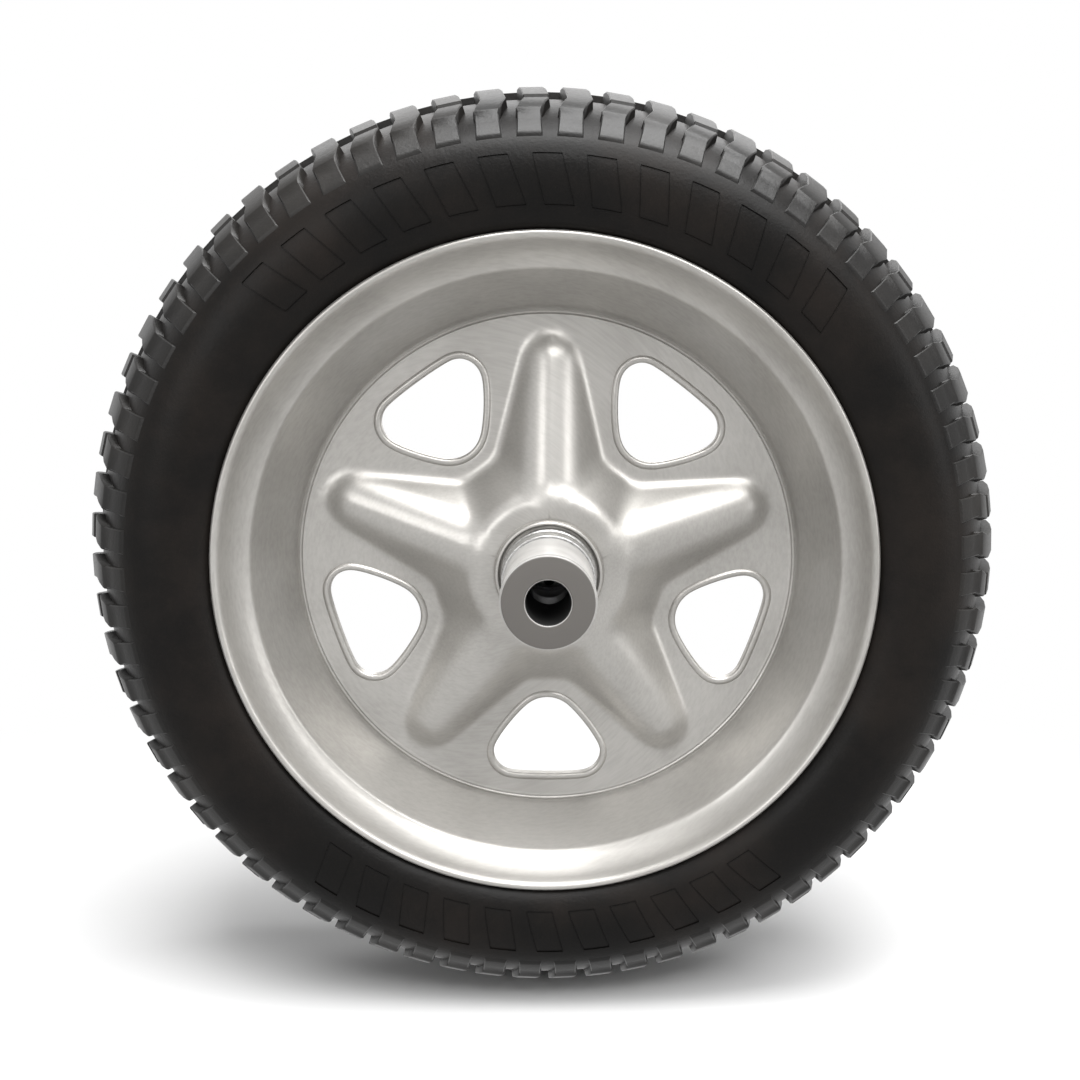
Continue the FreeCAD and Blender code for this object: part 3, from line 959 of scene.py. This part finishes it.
@dataclass
class BallRow:
    """The balls of one bearing."""

    end: End
    finish: Finish
    count: int = 14
    radius: float = 2.5
    circle: float = 12.0
    middle: float = 32.1

    def build(self) -> None:
        """Make the balls."""
        shape = Shape()
        place = Matrix.Translation((0, self.middle, self.circle))
        bmesh.ops.create_icosphere(shape.bm, subdivisions=3, radius=self.radius, matrix=place)
        shape.copies_round(self.count)
        made = shape.piece(f"bearing_balls_{self.end.value}", self.finish, crease=60.0, turn=self.end.turn)
        fit(made, Body.BALLS, Slot.BALL, f"ball_row_{self.end.value}")


class BlockKind(Enum):
    """The two kinds of block, which take turns round the tyre."""

    PLAIN = 0
    CUT = 1


@dataclass
class Tyre:
    """The foam tyre: side walls, two rows of bent blocks with lugs, and slanted bars on the side walls.

    The block lines give stations from the groove to the side wall: the distance along the axle, the radius of the
    top, the radius of the floor, how far the block leads round the axle, and half its length.
    """

    finish: Finish
    block_finish: Finish
    pitches: int = 70
    half_wall: Section = (
        (0.0, 176.0), (2.5, 176.0), (7.0, 175.4), (13.0, 173.9), (19.0, 171.6), (23.0, 169.7), (27.5, 167.2),
        (31.0, 164.7), (33.6, 162.4), (36.0, 159.9), (37.3, 158.2), (38.6, 156.0), (39.8, 153.0), (40.7, 149.0),
        (41.0, 145.0), (40.8, 141.0), (40.0, 137.0), (38.6, 133.2), (36.9, 130.2), (35.4, 128.4), (34.0, 127.2),
        (23.5, 117.4), (8.0, 105.6), (0.0, 105.2),
    )
    side_wall_from: Span = (33.0, 127.0)
    block_start: Section = (
        (2.6, 179.9, 175.4, -1.35, 4.6), (7.5, 179.5, 174.6, -0.7, 4.6), (15.0, 177.3, 172.4, 0.3, 4.6),
    )
    plain_bend: Section = ((23.0, 173.2, 168.9, 1.35, 4.6),)
    cut_bend: Section = (
        (21.4, 174.2, 169.7, 1.15, 4.6), (21.8, 172.6, 169.5, 1.2, 4.6), (23.2, 171.9, 168.8, 1.35, 4.6),
        (23.7, 172.6, 168.5, 1.2, 4.6),
    )
    block_end: Section = (
        (27.2, 170.8, 166.6, 0.0, 4.6), (31.0, 168.0, 163.9, -1.35, 4.6), (31.5, 166.7, 163.4, -1.35, 4.2),
        (34.4, 163.2, 160.6, -1.35, 4.2), (37.5, 159.1, 157.2, -1.35, 4.4), (37.9, 158.2, 156.4, -1.35, 4.4),
    )
    shoulder: float = 31.0
    draft: float = 0.25
    edge: float = 0.35
    least_run: float = 0.3
    bar_groups: Sequence[tuple[float, int]] = ((0.0, 13), (math.pi, 11))
    bar_pitch: float = 0.125
    bar_foot: float = 134.5
    bar_head: float = 151.5
    bar_half: float = 5.2
    bar_lean: float = 2.2
    bar_line: float = 0.9
    bar_cuts: int = 5
    bar_rise: float = 0.45
    bar_sink: float = 0.5
    steps: int = 280

    def block(self, kind: BlockKind) -> Shape:
        """Return one block and its lug, at the top of the rear row."""
        bend = self.plain_bend if kind is BlockKind.PLAIN else self.cut_bend
        outlines = []
        for along, top, floor, lead, half in (*self.block_start, *bend, *self.block_end):
            left, right = lead - half, lead + half
            outlines.append([
                Vector((left - self.draft, along, floor)), Vector((left, along, top)),
                Vector((right, along, top)), Vector((right + self.draft, along, floor)),
            ])
        shape = Shape().loft(outlines).outwards()
        tops = {round(outline[1].z, 3) for outline in outlines}
        edges = [
            edge for edge in shape.bm.edges
            if all(round(vert.co.z, 3) in tops for vert in edge.verts) and self.is_rounded(edge)
        ]
        return shape.bevelled(edges, self.edge)

    def is_rounded(self, edge: bmesh.types.BMEdge) -> bool:
        """Return whether an edge of a block's top runs along the axle or crosses the shoulder."""
        here, there = (vert.co.y for vert in edge.verts)
        return abs(here - there) > self.least_run or here == self.shoulder

    def row(self) -> Shape:
        """Return the rear row of blocks."""
        shape = Shape()
        kinds = {kind: self.block(kind) for kind in BlockKind}
        for order in range(self.pitches):
            turn = Matrix.Rotation(math.tau * order / self.pitches, 4, "Y")
            shape.add(kinds[BlockKind(order % len(kinds))], turn)
        return shape

    def wall_at(self, radius: float) -> float:
        """Return how far the side wall stands from the middle at a radius."""
        along, reach = self.side_wall_from
        wall = [corner for corner in reversed(self.half_wall) if corner[0] > along and corner[1] > reach]
        return float(np.interp(radius, [corner[1] for corner in wall], [corner[0] for corner in wall]))

    def bar(self, turn: float) -> Shape:
        """Return the raised outline of one slanted bar on the rear side wall.

        Args:
            turn: where it stands round the tyre.

        Returns:
            The bar.
        """
        shape = Shape()
        foot, head, half, lean = self.bar_foot, self.bar_head, self.bar_half, self.bar_lean
        corners = [(-half - lean, foot), (half - lean, foot), (half + lean, head), (-half + lean, head)]
        face = shape.bm.faces.new([shape.bm.verts.new((across, 0, up)) for across, up in corners])
        bmesh.ops.inset_region(shape.bm, faces=[face], thickness=self.bar_line, use_boundary=True,
                               use_even_offset=True)
        bmesh.ops.delete(shape.bm, geom=[face], context="FACES_ONLY")
        long_edges = [edge for edge in shape.bm.edges if edge.calc_length() > 2 * self.bar_line]
        bmesh.ops.subdivide_edges(shape.bm, edges=long_edges, cuts=self.bar_cuts, use_grid_fill=True)
        made = bmesh.ops.extrude_face_region(shape.bm, geom=shape.bm.faces[:], use_keep_orig=True)["geom"]
        raised = {vert for vert in made if isinstance(vert, bmesh.types.BMVert)}
        for vert in shape.bm.verts:
            lift = self.bar_rise if vert in raised else -self.bar_sink
            angle = turn + vert.co.x / vert.co.z
            along = self.wall_at(vert.co.z) + lift
            vert.co = Vector((vert.co.z * math.sin(angle), along, vert.co.z * math.cos(angle)))
        return shape.outwards()

    def ornament(self) -> Shape:
        """Return the bars of the rear side wall, in one group at the top and one at the bottom."""
        shape = Shape()
        for middle, count in self.bar_groups:
            for order in range(count):
                shape.add(self.bar(middle + (order - (count - 1) / 2) * self.bar_pitch))
        return shape

    def build(self) -> None:
        """Make the carcass, the tread and the bars."""
        half = list(self.half_wall)
        section = half + [(-along, radius) for along, radius in reversed(half[1:-1])]
        carcass = Shape().spin(section, self.steps).merged().outwards()
        fit(carcass.piece("tyre_carcass", self.finish, crease=30.0), Body.WHEEL, Slot.TYRE, "tyre")
        mirror = Matrix.Rotation(math.pi / self.pitches, 4, "Y") @ Matrix.Scale(-1, 4, AXLE)
        for side in End:
            tread = Shape().add(self.row(), mirror if side is End.FRONT else Matrix.Identity(4)).outwards()
            blocks = tread.piece(f"tread_blocks_{side.value}", self.block_finish, crease=25.0)
            fit(blocks, Body.WHEEL, Slot.TYRE)
            bars = self.ornament()
            made = bars.piece(f"wall_bars_{side.value}", self.block_finish, crease=35.0, turn=side.turn)
            fit(made, Body.WHEEL, Slot.TYRE)


@dataclass
class Races:
    """The races of the bearings, which keep their CAD meshes and get their finish."""

    finish: Finish

    def build(self) -> None:
        """Dress the CAD races."""
        for name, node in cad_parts.items():
            if "race" in name:
                node.data.materials.clear()
                node.data.materials.append(self.finish.material())
                log.info("%s keeps its CAD mesh", name)


# The stage


@dataclass(frozen=True)
class Lamp:
    """One soft area light that looks at the wheel."""

    name: str
    place: tuple[float, float, float]
    power: float
    width: float
    height: float

    def build(self) -> None:
        """Hang the lamp and aim it."""
        light = bpy.data.lights.new(self.name, "AREA")
        light.shape = "RECTANGLE"
        light.size, light.size_y = self.width, self.height
        light.energy = self.power
        hung = bpy.data.objects.new(self.name, light)
        facing = (WHEEL_MIDDLE - Vector(self.place)).to_track_quat("-Z", "Y")
        hung.matrix_world = Matrix.Translation(self.place) @ facing.to_matrix().to_4x4()
        bpy.context.scene.collection.objects.link(hung)


@dataclass
class Studio:
    """The floor, the lamps, the white room and the camera."""

    floor_finish: Finish
    floor_level: float = -0.1802
    floor_reach: float = 3.0
    floor_sides: int = 96
    ambient: float = 0.24
    camera_place: tuple[float, float, float] = (0.0007, -0.46, 0.0804)
    yaw: float = -2.55
    pitch: float = -12.94
    roll: float = 1.26
    lens: float = 37.94
    sensor: float = 36.0
    shift: Span = (-0.0551, 0.08)
    lamps: Sequence[Lamp] = (
        Lamp("key", (0.2, -0.45, 1.2), power=33.0, width=1.2, height=1.5),
        Lamp("top", (0.1, -0.3, 1.15), power=9.0, width=1.0, height=0.4),
        Lamp("back", (0.0, 0.8, 0.9), power=4.0, width=1.2, height=0.6),
        Lamp("left", (-0.85, -1.4, 0.5), power=4.0, width=0.5, height=0.8),
        Lamp("right", (1.2, -0.8, 0.35), power=3.0, width=0.4, height=0.8),
    )

    def build(self) -> None:
        """Set up the stage."""
        self.lay_floor()
        self.paint_room()
        for lamp in self.lamps:
            lamp.build()
        self.set_camera()
        bpy.context.scene.view_settings.view_transform = "Standard"

    def lay_floor(self) -> None:
        """Lay the round floor under the wheel."""
        shape = Shape()
        place = Matrix.Translation((0, 0, self.floor_level / MM))
        bmesh.ops.create_circle(shape.bm, cap_ends=True, segments=self.floor_sides, radius=self.floor_reach / MM,
                                matrix=place)
        floor = shape.piece("floor", self.floor_finish)

    def paint_room(self) -> None:
        """Make the world an even pale light that the camera, reflections and glass see as white."""
        world = bpy.data.worlds.new("room")
        world.use_nodes = True
        bpy.context.scene.world = world
        book = Book(world.node_tree)
        path = book.node("ShaderNodeLightPath")
        seen = Wire(book, path.outputs["Is Camera Ray"])
        for ray in ("Is Glossy Ray", "Is Transmission Ray"):
            seen = seen.maths("MAXIMUM", Wire(book, path.outputs[ray]))
        light, white = (
            book.wire("ShaderNodeBackground", "Background", {}, {"Color": WHITE, "Strength": strength})
            for strength in (self.ambient, 1.0)
        )
        mixed = book.wire("ShaderNodeMixShader", "Shader", {}, {0: seen, 1: light, 2: white})
        book.node("ShaderNodeOutputWorld", {}, {"Surface": mixed})

    def set_camera(self) -> None:
        """Stand the camera where the photograph was taken."""
        data = bpy.data.cameras.new("camera")
        data.lens = self.lens
        data.sensor_width = self.sensor
        data.shift_x, data.shift_y = self.shift
        camera = bpy.data.objects.new("camera", data)
        yaw, pitch, roll = (math.radians(angle) for angle in (self.yaw, self.pitch, self.roll))
        turn = Matrix.Rotation(yaw, 4, "Z") @ Matrix.Rotation(math.pi / 2, 4, "X")
        lean = Matrix.Rotation(pitch, 4, "X") @ Matrix.Rotation(roll, 4, "Z")
        camera.matrix_world = Matrix.Translation(self.camera_place) @ turn @ lean
        bpy.context.scene.collection.objects.link(camera)
        bpy.context.scene.camera = camera


def main() -> None:
    """Build every piece, dress it, and set the stage."""
    logging.basicConfig(level=logging.INFO, format="%(message)s")
    paint = SilverPaint("silver_sheet")
    rubber = Rubber("foam_rubber")
    blocks = Rubber("block_rubber", dust=(0.03, 0.026, 0.022), sheen=0.28)
    balls = BearingSteel("polished_balls", least_roughness=0.1)
    Studio(StudioFloor("studio_floor")).build()
    Tyre(rubber, blocks).build()
    for end in End:
        RimHalf(end, paint).build()
        BallRow(end, balls).build()
    Hub(TurnedTube("turned_tube"), SpacerPlastic("collar_grey")).build()
    Races(BearingSteel("ground_steel")).build()


if __name__ == "__main__":
    main()
